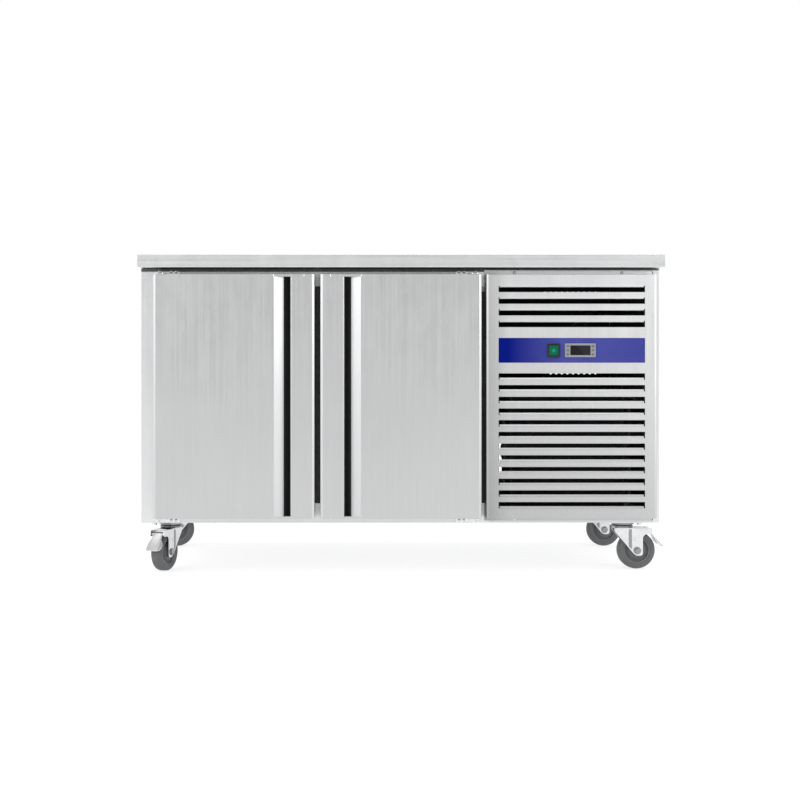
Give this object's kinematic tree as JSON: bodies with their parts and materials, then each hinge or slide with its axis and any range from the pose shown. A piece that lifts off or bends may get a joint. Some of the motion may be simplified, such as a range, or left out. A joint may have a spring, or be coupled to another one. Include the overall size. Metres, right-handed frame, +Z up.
{
  "type": "undercounter refrigerator",
  "caption": "Stainless undercounter refrigerator with hinged doors with full-height finger grooves, a louvred machine bay with a blue control strip, and swivel castors.",
  "frame": {"origin": "on the floor under the centre of the outline, which is 13 mm to the right of the worktop's centre because a brake pedal reaches past it", "axes": "+X to the right seen from the front, +Y towards the back, +Z up"},
  "size_m": [1.402, 0.7, 0.83],
  "materials": {
    "brushed_stainless": "vertical brushed stainless sheet",
    "worktop_stainless": "lengthwise brushed stainless worktop",
    "inner_steel": "satin stainless liner sheet",
    "zinc_plate": "bright zinc-plated steel",
    "black_plastic": "matt black moulded plastic",
    "grey_plastic": "grey moulded plastic",
    "blue_strip": "deep blue glossy overlay film",
    "green_lens": "translucent green rocker lens",
    "gasket_rubber": "soft grey magnetic gasket",
    "wheel_rubber": "grey-black non-marking castor rubber",
    "aluminium": "thin aluminium fins and blades",
    "black_paint": "satin black paint",
    "shelf_wire": "bright coated shelf wire"
  },
  "bodies": {
    "cabinet": {"worktop": "worktop_stainless", "side_wall_left": "brushed_stainless", "back_wall": "brushed_stainless", "floor_wall": "brushed_stainless", "ceiling_wall": "brushed_stainless", "partition_wall": "brushed_stainless", "side_panel_right": "brushed_stainless", "header_rail": "brushed_stainless", "rear_service_panel": "brushed_stainless", "louvred_panel": "brushed_stainless", "center_mullion": "inner_steel", "base_tray": "inner_steel", "evaporator_housing": "inner_steel", "shelf_runners_left": "inner_steel", "shelf_runners_right": "inner_steel", "mullion_cover": "black_plastic", "rocker_bezel": "black_plastic", "cable_gland": "black_plastic", "control_strip": "blue_strip", "controller": "grey_plastic", "condensate_tray": "grey_plastic", "compressor": "black_paint", "fan_shroud": "black_paint", "condenser_coil": "aluminium", "evaporator_coil": "aluminium", "wire_shelf_left": "shelf_wire", "wire_shelf_right": "shelf_wire", "hinge_top_left": "zinc_plate", "hinge_bottom_left": "zinc_plate", "hinge_top_right": "zinc_plate", "hinge_bottom_right": "zinc_plate", "castor_plate_front_left": "zinc_plate", "castor_plate_front_right": "zinc_plate", "castor_plate_rear_left": "zinc_plate", "castor_plate_rear_right": "zinc_plate"},
    "door_left": {"door_left_skin": "brushed_stainless", "door_left_liner": "inner_steel", "door_left_gasket": "gasket_rubber"},
    "door_right": {"door_right_skin": "brushed_stainless", "door_right_liner": "inner_steel", "door_right_gasket": "gasket_rubber"},
    "rocker": {"rocker_switch": "green_lens"},
    "condenser_rotor": {"condenser_fan": "aluminium"},
    "evaporator_rotor": {"evaporator_fan": "black_plastic"},
    "key_1": {"button_1": "grey_plastic"},
    "key_2": {"button_2": "grey_plastic"},
    "key_3": {"button_3": "grey_plastic"},
    "key_4": {"button_4": "grey_plastic"},
    "key_5": {"button_5": "grey_plastic"},
    "key_6": {"button_6": "grey_plastic"},
    "swivel_front_left": {"castor_fork_front_left": "zinc_plate"},
    "wheel_front_left": {"castor_wheel_front_left": "wheel_rubber"},
    "swivel_front_right": {"castor_fork_front_right": "zinc_plate"},
    "wheel_front_right": {"castor_wheel_front_right": "wheel_rubber"},
    "swivel_rear_left": {"castor_fork_rear_left": "zinc_plate"},
    "wheel_rear_left": {"castor_wheel_rear_left": "wheel_rubber"},
    "swivel_rear_right": {"castor_fork_rear_right": "zinc_plate"},
    "wheel_rear_right": {"castor_wheel_rear_right": "wheel_rubber"},
    "brake_front_left": {"brake_pedal_front_left": "zinc_plate"},
    "brake_front_right": {"brake_pedal_front_right": "zinc_plate"}
  },
  "joints": [
    {"name": "door_left_hinge", "type": "hinge", "parent": "cabinet", "child": "door_left", "pos_m": [-0.638, -0.322, 0.46275], "axis": [0, 0, -1], "range_deg": [0, 100]},
    {"name": "door_right_hinge", "type": "hinge", "parent": "cabinet", "child": "door_right", "pos_m": [0.179, -0.322, 0.46275], "axis": [0, 0, 1], "range_deg": [0, 100]},
    {"name": "rocker_tilt", "type": "hinge", "parent": "cabinet", "child": "rocker", "pos_m": [0.38, -0.3435, 0.582], "axis": [-1, 0, 0], "range_deg": [0, 18]},
    {"name": "condenser_fan_spin", "type": "hinge", "parent": "cabinet", "child": "condenser_rotor", "pos_m": [0.427, -0.194, 0.315], "axis": [0, 1, 0], "continuous": true},
    {"name": "evaporator_fan_spin", "type": "hinge", "parent": "cabinet", "child": "evaporator_rotor", "pos_m": [-0.26, 0.06, 0.61], "axis": [1, 0, 0], "continuous": true},
    {"name": "key_1_press", "type": "slide", "parent": "cabinet", "child": "key_1", "axis": [0, 1, 0], "range_m": [0, 0.0008], "stiffness_N_per_m": 300, "springref_m": -0.001},
    {"name": "key_2_press", "type": "slide", "parent": "cabinet", "child": "key_2", "axis": [0, 1, 0], "range_m": [0, 0.0008], "stiffness_N_per_m": 300, "springref_m": -0.001},
    {"name": "key_3_press", "type": "slide", "parent": "cabinet", "child": "key_3", "axis": [0, 1, 0], "range_m": [0, 0.0008], "stiffness_N_per_m": 300, "springref_m": -0.001},
    {"name": "key_4_press", "type": "slide", "parent": "cabinet", "child": "key_4", "axis": [0, 1, 0], "range_m": [0, 0.0008], "stiffness_N_per_m": 300, "springref_m": -0.001},
    {"name": "key_5_press", "type": "slide", "parent": "cabinet", "child": "key_5", "axis": [0, 1, 0], "range_m": [0, 0.0008], "stiffness_N_per_m": 300, "springref_m": -0.001},
    {"name": "key_6_press", "type": "slide", "parent": "cabinet", "child": "key_6", "axis": [0, 1, 0], "range_m": [0, 0.0008], "stiffness_N_per_m": 300, "springref_m": -0.001},
    {"name": "castor_swivel_front_left", "type": "hinge", "parent": "cabinet", "child": "swivel_front_left", "pos_m": [-0.623, -0.212, 0.115], "axis": [0, 0, 1], "continuous": true},
    {"name": "wheel_spin_front_left", "type": "hinge", "parent": "swivel_front_left", "child": "wheel_front_left", "pos_m": [-0.6359, -0.24561, 0.05], "axis": [0.9336, -0.3584, 0], "continuous": true},
    {"name": "castor_swivel_front_right", "type": "hinge", "parent": "cabinet", "child": "swivel_front_right", "pos_m": [0.584, -0.212, 0.115], "axis": [0, 0, 1], "continuous": true},
    {"name": "wheel_spin_front_right", "type": "hinge", "parent": "swivel_front_right", "child": "wheel_front_right", "pos_m": [0.62, -0.212, 0.05], "axis": [0, 1, 0], "continuous": true},
    {"name": "castor_swivel_rear_left", "type": "hinge", "parent": "cabinet", "child": "swivel_rear_left", "pos_m": [-0.623, 0.24, 0.115], "axis": [0, 0, 1], "continuous": true},
    {"name": "wheel_spin_rear_left", "type": "hinge", "parent": "swivel_rear_left", "child": "wheel_rear_left", "pos_m": [-0.659, 0.24, 0.05], "axis": [0, -1, 0], "continuous": true},
    {"name": "castor_swivel_rear_right", "type": "hinge", "parent": "cabinet", "child": "swivel_rear_right", "pos_m": [0.584, 0.24, 0.115], "axis": [0, 0, 1], "continuous": true},
    {"name": "wheel_spin_rear_right", "type": "hinge", "parent": "swivel_rear_right", "child": "wheel_rear_right", "pos_m": [0.62, 0.24, 0.05], "axis": [0, 1, 0], "continuous": true},
    {"name": "brake_press_front_left", "type": "hinge", "parent": "swivel_front_left", "child": "brake_front_left", "pos_m": [-0.64737, -0.27548, 0.099], "axis": [0.9336, -0.3584, 0], "range_deg": [0, 8]},
    {"name": "brake_press_front_right", "type": "hinge", "parent": "swivel_front_right", "child": "brake_front_right", "pos_m": [0.652, -0.212, 0.099], "axis": [0, 1, 0], "range_deg": [0, 8]}
  ]
}
